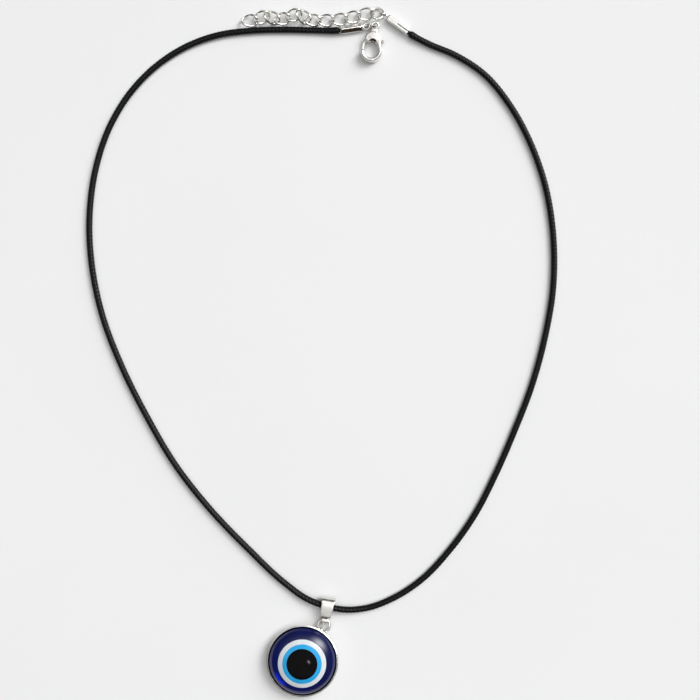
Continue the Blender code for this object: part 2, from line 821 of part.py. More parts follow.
def assemble_clasp():
    up = Vector((0, 0, 1))
    run = (LEFT_END_EYE - LEFT_END_MOUTH).to_2d().to_3d()
    eye_place = frame(LEFT_END_EYE, run, up)
    make_cord_end("cord_end_left", LEFT_END_MOUTH, eye_place, LEFT_END_LENGTH)
    ring = make_clasp_ring(LEFT_END_EYE, CLASP_EYE)
    chord = CLASP_EYE - LEFT_END_EYE
    ring_axis = axle(ring.matrix_basis.translation, up.cross(chord).normalized() * -1)
    swing = pivot("clasp_ring_axis", ring_axis, None, ring)
    place = frame(CLASP_EYE, heading(CLASP_HEADING - 90), up)
    fixed = make_clasp_body(place), make_clasp_pin(place), make_clasp_spring(place)
    swing = pivot("clasp_axis", axle(CLASP_EYE, up), swing, *fixed)
    lever_axis = axle(place @ Vector((*LEVER_PIVOT, 0)), up)
    pivot("clasp_lever_axis", lever_axis, swing, make_clasp_lever(place))


def assemble_chain():
    up = Vector((0, 0, 1))
    inward = heading(RIGHT_EYE_HEADING)
    eye_place = frame(RIGHT_END_EYE, inward, up.cross(inward))
    make_cord_end("cord_end_right", RIGHT_END_MOUTH, eye_place, RIGHT_END_LENGTH)
    ring_axis = axle(RIGHT_END_EYE, inward.cross(up))
    swing = pivot("chain_ring_axis", ring_axis, None, make_chain_ring())
    make_chain(swing)


clear_scene()
PARTS = collection("evil_eye_necklace")
CUTTERS = collection("cutters")
make_cord()
assemble_pendant()
assemble_clasp()
assemble_chain()
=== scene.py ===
"""The look of the evil eye necklace: cord, pendant, clasp and chain on a pale table."""

import math

import bmesh
import bpy
import numpy as np
from mathutils import Matrix, Vector


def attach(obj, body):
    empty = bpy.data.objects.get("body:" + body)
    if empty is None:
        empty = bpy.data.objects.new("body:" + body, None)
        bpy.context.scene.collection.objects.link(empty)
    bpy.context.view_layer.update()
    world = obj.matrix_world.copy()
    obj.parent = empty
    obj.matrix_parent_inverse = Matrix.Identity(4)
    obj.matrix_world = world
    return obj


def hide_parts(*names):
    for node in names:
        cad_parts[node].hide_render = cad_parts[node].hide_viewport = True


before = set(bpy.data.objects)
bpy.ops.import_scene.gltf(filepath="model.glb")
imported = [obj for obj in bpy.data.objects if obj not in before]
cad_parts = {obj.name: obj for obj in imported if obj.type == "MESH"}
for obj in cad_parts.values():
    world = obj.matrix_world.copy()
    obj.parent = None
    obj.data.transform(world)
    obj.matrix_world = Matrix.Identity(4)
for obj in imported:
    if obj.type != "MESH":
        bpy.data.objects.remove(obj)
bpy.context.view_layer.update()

MM = 0.001

# The camera looks straight down on the necklace
CAMERA_PLACE = (13.5 * MM, 88.25 * MM, 320 * MM)
CAMERA_LENS = 57.47
SENSOR = 36.0

# Lengths are in millimetres, except where they say MM

# The table reaches as good as to the horizon
TABLE_HALF_WIDTH = 30000.0

# Cord, as the CAD lays it
CORD_RADIUS = 0.9 * MM
CORD_ROUTE = (
    (12.7, 179.75, 1.15),
    (9.7, 179.4, 1.15),
    (4.0, 179.5, 0.9),
    (-5.0, 179.7, 0.9),
    (-15.0, 179.4, 0.9),
    (-24.0, 178.2, 0.9),
    (-33.0, 175.0, 0.9),
    (-41.5, 169.6, 0.9),
    (-49.0, 162.0, 0.9),
    (-55.2, 151.8, 0.9),
    (-59.2, 139.6, 0.9),
    (-60.9, 126.0, 0.9),
    (-60.3, 113.0, 0.9),
    (-57.3, 98.4, 0.9),
    (-51.6, 83.4, 0.9),
    (-44.6, 69.4, 0.9),
    (-36.2, 55.2, 0.9),
    (-26.8, 43.2, 0.9),
    (-15.6, 31.5, 0.9),
    (-5.0, 21.6, 0.9),
    (1.0, 17.4, 1.35),
    (6.9, 15.2, 1.65),
    (12.4, 14.2, 1.35),
    (18.2, 14.6, 0.9),
    (25.4, 17.2, 0.9),
    (33.8, 22.6, 0.9),
    (42.0, 31.2, 0.9),
    (49.0, 41.0, 0.9),
    (55.0, 52.6, 0.9),
    (60.4, 65.0, 0.9),
    (65.2, 77.4, 0.9),
    (69.2, 92.0, 0.9),
    (71.5, 106.0, 0.9),
    (71.6, 120.0, 0.9),
    (69.4, 134.6, 0.9),
    (65.0, 147.4, 0.9),
    (59.4, 157.8, 0.9),
    (51.8, 167.0, 0.9),
    (43.2, 172.6, 0.9),
    (36.0, 175.6, 0.95),
    (31.2, 178.1, 1.15),
    (28.6, 179.95, 1.15),
)
CORD_STEP = 0.25 * MM
CORD_SIDES = 40
CORD_PLIES = 5
CORD_LAY = 5.4 * MM
CORD_GROOVE = 0.16
CORD_CREST = 1.03
# Near each end, the distance along the cord and its width there
CORD_END_STATIONS = ((0.0, 0.6), (2.25, 0.6), (2.4, 1.02), (3.2, 1.1), (5.0, 1.0))

# Pendant
PENDANT_RADIUS = 10.2
BACK_RADIUS = 7.5
FLARE_HEIGHT = 2.5
BEZEL_HEIGHT = 3.15
SEAT_RADIUS = 9.75
SEAT_FLOOR_RADIUS = 7.9
SEAT_FLOOR = 0.9
SEAT_SHOULDER = 2.75
BEZEL_RIBS = 120
RIB_DEPTH = 0.07
EYE_RADIUS = 9.5
EYE_BASE_RADIUS = 7.9
EYE_BASE = 1.35
EYE_SHOULDER = 2.6
DOME_TOP = 6.9
WHITE_RADIUS = 6.8
BLUE_RADIUS = 5.55
PUPIL_RADIUS = 4.35
# The painted glow of light gathered in the navy glass, a crescent painted into its colour: which
# way it lies, and where it fades in and out
PAINTED_GLOW_HEADING = 216.0
PAINTED_GLOW_INNER = (7.2, 7.8)
PAINTED_GLOW_OUTER = (8.1, 8.6)
LOOP_DIRECTION = 58.0
LOOP_DISTANCE = 9.7
LOOP_HEIGHT = 1.2
LOOP_RADIUS = 0.8
LOOP_WIRE = 0.6

# The saw cut in every jump ring and link
RING_CUT = 0.05

# Bail and its jump ring
BAIL_RING_RADIUS = 1.72
BAIL_RING_WIRE = 0.75
BAIL_RING_PLAY = 0.15
BAIL_HEADING = 260.0
BAIL_STRIP = 0.5
BAIL_ROUNDING = 0.2
BAIL_TOP_WIDTH = 4.2
BAIL_TIP_WIDTH = 2.7
BAIL_TIP = 3.8
# The bail's front, from its tip to its fold: distance from the cord's centre, and height
BAIL_FRONT = (
    (BAIL_TIP, 2.9),
    (3.5, 2.99),
    (3.1, 3.07),
    (2.6, 3.16),
    (2.0, 3.25),
    (1.4, 3.33),
    (0.85, 3.41),
)
BAIL_END_WIDTH = 1.85
BAIL_FOLD_RADIUS = 1.6
BAIL_EYE_RADIUS = 0.95
BAIL_FOLD_TO_EYE = 4.9

# Left cord end, turned about the cord so that it mirrors the dark side of the room
LEFT_END_MOUTH = Vector((10.7, 179.45, 1.15))
LEFT_END_EYE = Vector((18.15, 180.55, 1.2))
LEFT_END_LENGTH = 6.5
LEFT_END_ROLL = -46.0
LEFT_END_NECK = 0.25

# Clasp and its jump ring, with the gate on the clasp's local +X side and its length along +Y
CLASP_RING_RADIUS = 1.3
CLASP_RING_WIRE = 0.6
CLASP_EYE = Vector((20.65, 180.75, 1.4))
CLASP_HEADING = 261.5
CLASP_THICKNESS = 2.8
CLASP_EYE_RADIUS = 0.95
CLASP_EYE_WIRE = 0.7
CLASP_ROUNDING = 0.45
NECK_WIDTH = 1.7
NECK_THICKNESS = 1.1
NECK_ROUNDING = 0.25
HEAD_RADIUS = 2.35
HEAD_AT = 4.3
BELLY_RADIUS = 3.0
BELLY_AT = 7.55
MOUTH_TOP_RADIUS = 1.45
MOUTH_TOP_AT = 6.15
MOUTH_RADIUS = 2.1
MOUTH_AT = 7.4
GATE_TOP = 4.9
GATE_BOTTOM = 7.5
TIP_HALF_WIDTH = 0.28
SLOT_THICKNESS = 1.5
SLOT_TOP = 2.6
SLOT_BOTTOM = 4.85
LEVER_PIVOT = (0.9, 4.1)
PIN_HOLE = 0.37
# The slope at the top of the mouth: a cone, a little narrower than it is long
BEVEL_DEPTH = 0.6
BEVEL_WIDE_RADIUS = 2.2
BEVEL_NARROW_RADIUS = 0.8
BEVEL_NARROWING = 0.84
BEVEL_PLACE = Vector((-0.05, MOUTH_TOP_AT - 0.6, CLASP_THICKNESS / 2))

# Right cord end's eye and the chain's jump ring
RIGHT_END_EYE = Vector((22.9, 184.0, 1.25))
RIGHT_EYE_HEADING = 171.0
CHAIN_RING_RADIUS = 1.78
CHAIN_RING_WIRE = 0.65
CHAIN_RING_PLAY = 0.1
CHAIN_RING_TILT = 20.0

# Chain. Each row of the lay is a link's heading, rise and roll, and its distance from the last
LINK_WIRE = 0.6
LINK_HALF_LENGTH = 2.3
LINK_HALF_WIDTH = 1.55
LINK_SQUARENESS = 2.4
LINK_TWIST = 45.0
FIRST_LINK = Vector((17.95, 184.0, 1.25))
CHAIN_LAY = (
    (192, 0, -10, 0.0),
    (192, -3, -5, 3.85),
    (186, -1.5, 0, 3.85),
    (182, 0, 0, 3.85),
    (176, 1.5, 0, 3.8),
    (144, 15, 0, 2.9),
    (202, -8, -10, 3.2),
    (190, -5, 0, 3.5),
    (156, 11.5, -5, 3.1),
    (204, -8, -10, 3.3),
    (182, -3, 0, 3.6),
)

# How finely the CAD's cast parts are remeshed, and how many times they are smoothed
SLEEVE_FINISH = (0.05, 24)
LEVER_FINISH = (0.045, 12)

# Painted shade: the metal is painted darker where it is sheltered, within this reach
PAINTED_SHADE_REACH = 1.1 * MM
PAINTED_SHADE_COLOUR = (0.16, 0.14, 0.11, 1.0)

# Light: the room's colour by the rise of the line of sight, and what stands in it
HORIZON_COLOUR = (0.045, 0.04, 0.037)
SKY_BANDS = (
    (0.5, (0.11, 0.105, 0.10)),
    (0.68, (0.32, 0.315, 0.31)),
    (0.8, (0.84, 0.835, 0.83)),
)
OVERHEAD_COLOUR = (0.80, 0.80, 0.805)
FURNITURE_COLOUR = (0.035, 0.026, 0.018)
FURNITURE_AZIMUTH = 250.0
FURNITURE_SIDES = (0.1, 0.45)
FURNITURE_TOP = (0.86, 0.66)
WINDOW_AZIMUTH = 37.0
WINDOW_ELEVATION = 42.0
WINDOW_WIDTH = 0.2
WINDOW_HEIGHT = 0.26
WINDOW_BRIGHTNESS = 12.0
LAMP_AZIMUTH = -62.0
LAMP_ELEVATION = 72.6
LAMP_DISTANCE = 800 * MM
LAMP_SIZE = (30 * MM, 60 * MM)
LAMP_ENERGY = 0.3
LAMP_AIM = Vector((5 * MM, 60 * MM, 0))


# Shapes

UP = Vector((0, 0, 1))


def heading(degrees, length=1.0):
    angle = math.radians(degrees)
    return Vector((math.cos(angle), math.sin(angle), 0.0)) * length


def sky_way(azimuth, elevation):
    """The direction of something above the table, seen from the table."""
    way = heading(azimuth, math.cos(math.radians(elevation)))
    way.z = math.sin(math.radians(elevation))
    return way


def axes(origin, x_axis, z_axis):
    """A placement with this X axis, and Z as close as it can be to the given one."""
    x = x_axis.normalized()
    y = z_axis.cross(x).normalized()
    z = x.cross(y)
    matrix = Matrix((x, y, z)).transposed().to_4x4()
    matrix.translation = origin
    return matrix


def piece(name, points, faces, uvs=None, place=None, sharp=40.0):
    """A mesh piece from points in millimetres, with its place in its vertices."""
    mesh = bpy.data.meshes.new(name)
    points = np.asarray(points, float)
    if place is not None:
        turn = np.array(place.to_3x3())
        points = points @ turn.T + np.array(place.translation)
    mesh.from_pydata((points * MM).tolist(), [], faces)
    if uvs is not None:
        layer = mesh.uv_layers.new(name="UVMap")
        corners = np.array([loop.vertex_index for loop in mesh.loops])
        layer.data.foreach_set("uv", np.asarray(uvs, float)[corners].ravel())
    work = bmesh.new()
    work.from_mesh(mesh)
    bmesh.ops.remove_doubles(work, verts=work.verts, dist=1e-8)
    bmesh.ops.recalc_face_normals(work, faces=work.faces)
    work.to_mesh(mesh)
    work.free()
    mesh.shade_smooth()
    mesh.set_sharp_from_angle(angle=math.radians(sharp))
    obj = bpy.data.objects.new(name, mesh)
    bpy.context.scene.collection.objects.link(obj)
    return obj


def frames_along(points, closed):
    """Unit side vectors that turn as little as they can along a line."""
    points = np.asarray(points, float)
    if closed:
        tangents = np.roll(points, -1, 0) - np.roll(points, 1, 0)
    else:
        tangents = np.gradient(points, axis=0)
    tangents /= np.linalg.norm(tangents, axis=1)[:, None]
    start = np.array((0.0, 0.0, 1.0))
    if abs(tangents[0] @ start) > 0.9:
        start = np.array((1.0, 0.0, 0.0))
    side = start - tangents[0] * (start @ tangents[0])
    sides = []
    for tangent in tangents:
        side = side - tangent * (side @ tangent)
        side /= np.linalg.norm(side)
        sides.append(side)
    sides = np.array(sides)
    return sides, np.cross(tangents, sides)


def tube(name, points, radius, sides=20, closed=False, lobes=None, place=None):
    """A round wire along points. lobes gives the radius share at (distance, angle)."""
    points = np.asarray(points, float)
    count = len(points)
    u, v = frames_along(points, closed)
    angles = np.linspace(0, 2 * math.pi, sides, endpoint=False)
    steps = np.linalg.norm(np.diff(points, axis=0), axis=1)
    along = np.concatenate([[0.0], np.cumsum(steps)])
    radii = np.ones((count, sides)) * np.reshape(radius, (-1, 1))
    if lobes:
        radii = radii * lobes(along[:, None], angles[None, :])
    rim = (
        u[:, None] * np.cos(angles)[None, :, None]
        + v[:, None] * np.sin(angles)[None, :, None]
    )
    corners = (points[:, None] + rim * radii[:, :, None]).reshape(-1, 3)
    faces = []
    for i in range(count if closed else count - 1):
        for j in range(sides):
            k = (j + 1) % sides
            n = (i + 1) % count
            faces.append((i * sides + j, i * sides + k, n * sides + k, n * sides + j))
    if not closed:
        faces.append(tuple(range(sides - 1, -1, -1)))
        faces.append(tuple((count - 1) * sides + j for j in range(sides)))
    uvs = np.stack(
        [np.repeat(along, sides), np.tile(angles / (2 * math.pi), count)], axis=1
    )
    return piece(name, corners, faces, uvs, place)


def turned(name, profile, steps=160, ribs=None):
    """A profile of (radius, height) turned about Z. ribs gives a point's radius at an angle."""
    angles = np.linspace(0, 2 * math.pi, steps, endpoint=False)
    points, rings = [], []
    for radius, height in profile:
        if radius == 0:
            rings.append([len(points)] * steps)
            points.append((0.0, 0.0, height))
            continue
        rings.append(list(range(len(points), len(points) + steps)))
        for angle in angles:
            r = ribs(radius, height, angle) if ribs else radius
            points.append((r * math.cos(angle), r * math.sin(angle), height))
    faces = []
    for upper, lower in zip(rings, rings[1:]):
        for j in range(steps):
            k = (j + 1) % steps
            corners = [upper[j], upper[k], lower[k], lower[j]]
            faces.append(tuple(dict.fromkeys(corners)))
    return piece(name, points, faces, sharp=30.0)


def ring_points(radius, cut_at, count=72):
    """A jump ring's centreline, open by a fine cut."""
    half = RING_CUT / radius / 2
    spread = np.linspace(half, 2 * math.pi - half, count) + math.radians(cut_at)
    return np.stack([radius * np.cos(spread), radius * np.sin(spread), 0 * spread], 1)


def blunt(points, radius, wire_end=0.06):
    """Radii along an open wire, eased at both cut ends."""
    radii = np.full(len(points), float(radius))
    radii[0] = radii[-1] = radius - wire_end
    return radii


def tumbled(node, voxel, passes):
    """A finer copy of a CAD node's shape, with the soft edges of a tumbled casting."""
    scale = 100.0
    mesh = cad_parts[node].data.copy()
    mesh.transform(Matrix.Scale(scale, 4))
    obj = bpy.data.objects.new(node + "_look", mesh)
    bpy.context.scene.collection.objects.link(obj)
    remesh = obj.modifiers.new("Remesh", "REMESH")
    remesh.mode = "VOXEL"
    remesh.voxel_size = voxel * MM * scale
    smooth = obj.modifiers.new("Smooth", "SMOOTH")
    smooth.factor = 0.5
    smooth.iterations = passes
    graph = bpy.context.evaluated_depsgraph_get()
    fine = bpy.data.meshes.new_from_object(obj.evaluated_get(graph))
    obj.modifiers.clear()
    obj.data = fine
    fine.transform(Matrix.Scale(1 / scale, 4))
    fine.materials.clear()
    fine.shade_smooth()
    return obj


def rolled(obj, mouth, eye, length, degrees):
    """Turns a sleeve about its length, with all the twist in the neck before its eye."""
    level = (eye - mouth).to_2d().to_3d()
    place = axes(mouth * MM, level, UP)
    back = place.inverted()
    for vert in obj.data.vertices:
        local = back @ vert.co
        share = min(1.0, max(0.0, (length - local.x / MM) / LEFT_END_NECK))
        vert.co = place @ Matrix.Rotation(math.radians(degrees) * share, 4, "X") @ local
    obj.data.update()


# Materials


def fill(tree, socket, value):
    """Links a socket, or gives it a plain value."""
    if isinstance(value, bpy.types.NodeSocket):
        tree.links.new(value, socket)
    else:
        socket.default_value = value


def number_math(tree, operation, *values):
    node = tree.nodes.new("ShaderNodeMath")
    node.operation = operation
    for socket, value in zip(node.inputs, values):
        fill(tree, socket, value)
    return node.outputs[0]


def vector_math(tree, operation, *values):
    node = tree.nodes.new("ShaderNodeVectorMath")
    node.operation = operation
    for socket, value in zip(node.inputs, values):
        fill(tree, socket, value)
    return node.outputs["Value" if operation == "DOT_PRODUCT" else "Vector"]


def eased(tree, value, start, end):
    """0 at start and 1 at end, with a soft change in between."""
    node = tree.nodes.new("ShaderNodeMapRange")
    node.interpolation_type = "SMOOTHSTEP"
    tree.links.new(value, node.inputs["Value"])
    node.inputs["From Min"].default_value = start
    node.inputs["From Max"].default_value = end
    return node.outputs["Result"]


class Net:
    """A material's nodes, made and linked in one call each."""

    def __init__(self, name):
        self.material = bpy.data.materials.new(name)
        self.material.use_nodes = True
        self.tree = self.material.node_tree
        self.shader = self.tree.nodes["Principled BSDF"]

    def set(self, node, **inputs):
        for name, value in inputs.items():
            fill(self.tree, node.inputs[name.replace("_", " ")], value)
        return node

    def node(self, kind, settings=None, **inputs):
        node = self.tree.nodes.new(kind)
        for name, value in (settings or {}).items():
            setattr(node, name, value)
        return self.set(node, **inputs)

    def noise(self, scale, detail, coords=None, stretch=None):
        coords = coords or self.node("ShaderNodeTexCoord").outputs["Object"]
        if stretch:
            mapping = self.node("ShaderNodeMapping", Vector=coords, Scale=stretch)
            coords = mapping.outputs["Vector"]
        made = self.node("ShaderNodeTexNoise", Vector=coords, Scale=scale, Detail=detail)
        return made.outputs["Fac"]

    def ramp(self, value, low, high, smooth=False, frm=(0.3, 0.7)):
        """value, taken from the range frm to the range low to high."""
        node = self.node("ShaderNodeMapRange", {"clamp": True}, Value=value)
        if smooth:
            node.interpolation_type = "SMOOTHSTEP"
        node.inputs["From Min"].default_value = frm[0]
        node.inputs["From Max"].default_value = frm[1]
        node.inputs["To Min"].default_value = low
        node.inputs["To Max"].default_value = high
        return node.outputs["Result"]

    def mix(self, share, first, second):
        node = self.node("ShaderNodeMix", {"data_type": "RGBA"})
        for index, value in ((0, share), (6, first), (7, second)):
            fill(self.tree, node.inputs[index], value)
        return node.outputs[2]

    def math(self, operation, *values):
        return number_math(self.tree, operation, *values)

    def bump(self, height, distance, strength=1.0):
        node = self.node("ShaderNodeBump", Height=height, Distance=distance)
        node.inputs["Strength"].default_value = strength
        self.tree.links.new(node.outputs["Normal"], self.shader.inputs["Normal"])


def plated_metal(name, bright=(0.92, 0.915, 0.89), dull=(0.76, 0.745, 0.70), rough=(0.07, 0.16)):
    """Silver plating on a cast or drawn part, with haze, tiny pits, polishing marks and painted
    shade where the metal is sheltered.
    """
    net = Net(name)
    haze = net.noise(900.0, 4.0)
    worn = net.noise(260.0, 2.0)
    colour = net.mix(net.ramp(worn, 0.0, 1.0), (*bright, 1.0), (*dull, 1.0))
    # Painted shade: ambient occlusion darkens the metal's colour in recesses and between parts
    open_air = net.node("ShaderNodeAmbientOcclusion", {"samples": 8}, Distance=PAINTED_SHADE_REACH)
    unshaded = net.ramp(open_air.outputs["AO"], 0.0, 1.0, True, (0.1, 0.85))
    colour = net.mix(unshaded, PAINTED_SHADE_COLOUR, colour)
    net.set(net.shader, Base_Color=colour, Metallic=1.0)
    net.set(net.shader, Roughness=net.ramp(haze, *rough))
    marks = net.noise(5200.0, 5.0, stretch=(1.0, 0.35, 1.0))
    net.bump(marks, 0.012 * MM)
    return net.material


def waxed_cord():
    """Black waxed thread: dark fibres along each ply under a thin, patchy wax."""
    net = Net("waxed_cord")
    uv = net.node("ShaderNodeTexCoord").outputs["UV"]
    fibres = net.noise(1.0, 4.0, coords=uv, stretch=(1.2, 46.0, 1.0))
    wax = net.noise(420.0, 3.0)
    thread, dust = (0.0015, 0.0016, 0.002, 1.0), (0.006, 0.0063, 0.007, 1.0)
    colour = net.mix(net.ramp(fibres, 0.0, 1.0), thread, dust)
    net.set(net.shader, Base_Color=colour)
    net.set(net.shader, Roughness=net.ramp(wax, 0.06, 0.22))
    net.shader.inputs["Specular IOR Level"].default_value = 0.17
    net.bump(fibres, 0.008 * MM)
    return net.material


def navy_resin():
    """Navy glass: deep all round, with a painted glow (a bright crescent of gathered light
    painted on the side away from the window) and painted lighter towards that side.
    """
    net = Net("navy_resin")
    place = net.node("ShaderNodeTexCoord").outputs["Object"]
    split = net.node("ShaderNodeSeparateXYZ", Vector=place)
    x, y = split.outputs["X"], split.outputs["Y"]
    across, along = net.math("MULTIPLY", x, x), net.math("MULTIPLY", y, y)
    radius = net.math("SQRT", net.math("ADD", across, along))
    glow_way = heading(PAINTED_GLOW_HEADING)
    across, along = net.math("MULTIPLY", x, glow_way.x), net.math("MULTIPLY", y, glow_way.y)
    toward = net.math("ADD", across, along)
    cosine = net.math("DIVIDE", toward, net.math("MAXIMUM", radius, 0.1 * MM))
    # Painted light: a bright blue crescent painted near the rim, on the side away from the window
    inner = net.ramp(radius, 0.0, 1.0, True, [edge * MM for edge in PAINTED_GLOW_INNER])
    outer = net.ramp(radius, 1.0, 0.0, True, [edge * MM for edge in PAINTED_GLOW_OUTER])
    reach = net.ramp(cosine, 0.0, 1.0, True, (0.94, 0.99))
    painted_glow_mask = net.math("MULTIPLY", net.math("MULTIPLY", inner, outer), reach)
    # Painted light: the navy is painted lighter towards the crescent's side
    half = net.ramp(cosine, 0.0, 1.0, True, (-0.2, 1.0))
    cloud = net.noise(380.0, 2.0)
    night, dusk = (0.0035, 0.006, 0.055, 1.0), (0.0050, 0.009, 0.075, 1.0)
    deep = net.mix(net.ramp(cloud, 0.0, 1.0), night, dusk)
    lit = net.mix(half, deep, (0.005, 0.010, 0.125, 1.0))
    colour = net.mix(painted_glow_mask, lit, (0.002, 0.03, 0.95, 1.0))
    net.set(net.shader, Base_Color=colour)
    gloss(net, 0.5)
    return net.material


def gloss(net, shine):
    """A hard clear surface, polished but for faint hand-finished haze."""
    net.set(net.shader, Roughness=net.ramp(net.noise(700.0, 2.0), 0.06, 0.11), IOR=1.5)
    net.shader.inputs["Specular IOR Level"].default_value = shine
    net.bump(net.noise(240.0, 1.0), 0.0015 * MM)


def enamel(name, first, second, shine=0.28):
    """One glossy colour of the eye, very slightly uneven."""
    net = Net(name)
    share = net.ramp(net.noise(500.0, 3.0), 0.0, 1.0)
    net.set(net.shader, Base_Color=net.mix(share, (*first, 1.0), (*second, 1.0)))
    gloss(net, shine)
    return net.material


def finish(obj, body, slot, material, *nodes):
    """Gives a piece its material and body, and hides the CAD nodes it stands for; slot is not
    used.
    """
    obj.data.materials.clear()
    obj.data.materials.append(material)
    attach(obj, body)
    if nodes:
        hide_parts(*nodes)


# Camera, table and light

camera = bpy.data.objects.new("camera", bpy.data.cameras.new("camera"))
bpy.context.scene.collection.objects.link(camera)
camera.location = CAMERA_PLACE
camera.data.lens = CAMERA_LENS
camera.data.sensor_width = SENSOR
camera.data.clip_start = 0.01
bpy.context.scene.camera = camera
bpy.context.scene.view_settings.view_transform = "Standard"
bpy.context.scene.view_settings.look = "None"


def table_top():
    net = Net("pale_table")
    fine = net.noise(900.0, 4.0)
    broad = net.noise(9.0, 2.0)
    dim, pale = (0.795, 0.80, 0.803, 1.0), (0.815, 0.82, 0.823, 1.0)
    colour = net.mix(net.ramp(broad, 0.0, 1.0), dim, pale)
    net.set(net.shader, Base_Color=colour, Roughness=net.ramp(fine, 0.55, 0.7))
    net.bump(fine, 0.01 * MM, 0.4)
    half = TABLE_HALF_WIDTH
    corners = [(-half, -half, 0), (half, -half, 0), (half, half, 0), (-half, half, 0)]
    top = piece("table_top", corners, [(0, 1, 2, 3)])
    top.data.materials.append(net.material)


def lamp():
    """A small area light aimed at the middle of the necklace."""
    data = bpy.data.lights.new("lamp", "AREA")
    data.shape = "RECTANGLE"
    data.size, data.size_y = LAMP_SIZE
    data.energy = LAMP_ENERGY
    light = bpy.data.objects.new("lamp", data)
    bpy.context.scene.collection.objects.link(light)
    out = sky_way(LAMP_AZIMUTH, LAMP_ELEVATION)
    light.location = LAMP_AIM + out * LAMP_DISTANCE
    light.rotation_euler = out.to_track_quat("Z", "Y").to_euler()


def room():
    """A pale room with a soft window on one side and dark furniture on the other."""
    world = bpy.data.worlds.new("room")
    bpy.context.scene.world = world
    world.use_nodes = True
    tree = world.node_tree
    background = tree.nodes["Background"]
    direction = tree.nodes.new("ShaderNodeTexCoord").outputs["Generated"]
    split = tree.nodes.new("ShaderNodeSeparateXYZ")
    ramp = tree.nodes.new("ShaderNodeValToRGB")
    tree.links.new(direction, split.inputs["Vector"])
    tree.links.new(split.outputs["Z"], ramp.inputs["Fac"])
    stops = ramp.color_ramp.elements
    stops[0].position, stops[0].color = 0.0, (*HORIZON_COLOUR, 1.0)
    stops[1].position, stops[1].color = 1.0, (*OVERHEAD_COLOUR, 1.0)
    for rise, colour in SKY_BANDS:
        band = stops.new(rise)
        band.color = (*colour, 1.0)
    aside = vector_math(tree, "DOT_PRODUCT", direction, heading(FURNITURE_AZIMUTH))
    aside = eased(tree, aside, *FURNITURE_SIDES)
    below = eased(tree, split.outputs["Z"], *FURNITURE_TOP)
    dark = tree.nodes.new("ShaderNodeMix")
    dark.data_type = "RGBA"
    tree.links.new(number_math(tree, "MULTIPLY", aside, below), dark.inputs[0])
    tree.links.new(ramp.outputs["Color"], dark.inputs[6])
    dark.inputs[7].default_value = (*FURNITURE_COLOUR, 1.0)
    spread = None
    across = heading(WINDOW_AZIMUTH + 90.0)
    up = sky_way(WINDOW_AZIMUTH, WINDOW_ELEVATION).cross(across)
    for way, width in ((across, WINDOW_WIDTH), (up, WINDOW_HEIGHT)):
        part = vector_math(tree, "DOT_PRODUCT", direction, way)
        part = number_math(tree, "DIVIDE", part, width)
        part = number_math(tree, "MULTIPLY", part, part)
        spread = number_math(tree, "ADD", spread, part) if spread else part
    pane = number_math(tree, "POWER", 0.5, spread)
    facing = vector_math(tree, "DOT_PRODUCT", direction, heading(WINDOW_AZIMUTH))
    pane = number_math(tree, "MULTIPLY", pane, number_math(tree, "GREATER_THAN", facing, 0.0))
    pane = number_math(tree, "MULTIPLY", pane, WINDOW_BRIGHTNESS)
    both = vector_math(tree, "ADD", dark.outputs[2], pane)
    tree.links.new(both, background.inputs["Color"])


table_top()
room()
lamp()


# Cord


def smooth_route(points, steps=16):
    """Points on a smooth curve through the given ones."""
    points = [Vector(point) for point in points]
    chords = [(b - a).length for a, b in zip(points, points[1:])]
    slopes = [(b - a) / chord for a, b, chord in zip(points, points[1:], chords)]
    tangents = [slopes[0]]
    for before, after, near, far in zip(slopes, slopes[1:], chords, chords[1:]):
        tangents.append((before * far + after * near) / (near + far))
    tangents.append(slopes[-1])
    fine = [points[0].copy()]
    for index, chord in enumerate(chords):
        start, end = points[index], points[index + 1]
        leave, arrive = tangents[index] * chord, tangents[index + 1] * chord
        for step in range(1, steps + 1):
            t = step / steps
            fine.append(
                start * (2 * t**3 - 3 * t**2 + 1)
                + leave * (t**3 - 2 * t**2 + t)
                + end * (3 * t**2 - 2 * t**3)
                + arrive * (t**3 - t**2)
            )
    return np.array([tuple(point) for point in fine])


def make_cord():
    """Five waxed plies twisted together, squeezed into a cord end at each end."""
    fine = smooth_route(CORD_ROUTE)
    along = np.concatenate([[0.0], np.cumsum(np.linalg.norm(np.diff(fine, axis=0), axis=1))])
    length = along[-1]
    at = np.linspace(0.0, length, int(length * MM / CORD_STEP))
    points = np.stack([np.interp(at, along, fine[:, k]) for k in range(3)], axis=1)
    near = np.minimum(at, length - at)
    where, width = zip(*CORD_END_STATIONS)
    shares = np.interp(near, where, width)
    radius = CORD_RADIUS / MM
    points[:, 2] = np.maximum(points[:, 2], radius * shares)

    def plies(distance, angle):
        phase = CORD_PLIES * (angle - 2 * math.pi * distance * MM / CORD_LAY)
        return CORD_CREST - CORD_GROOVE * (1.0 - np.abs(np.cos(phase / 2)))

    obj = tube("waxed_cord", points, radius * shares, CORD_SIDES, lobes=plies)
    finish(obj, "cord_and_ends", "waxed_cord", waxed_cord(), "cord")


make_cord()


# Pendant


def dome_height(radius):
    share = math.sqrt(max(0.0, 1.0 - (radius / EYE_RADIUS) ** 2))
    return EYE_SHOULDER + (DOME_TOP - EYE_SHOULDER) * share


def dome_profile(inner, outer, steps):
    """Points on the dome from its inner, higher radius to its outer, lower one."""
    start, end = (math.asin(radius / EYE_RADIUS) for radius in (inner, outer))
    angles = np.linspace(start, end, steps + 1)
    return [(EYE_RADIUS * math.sin(a), dome_height(EYE_RADIUS * math.sin(a))) for a in angles]


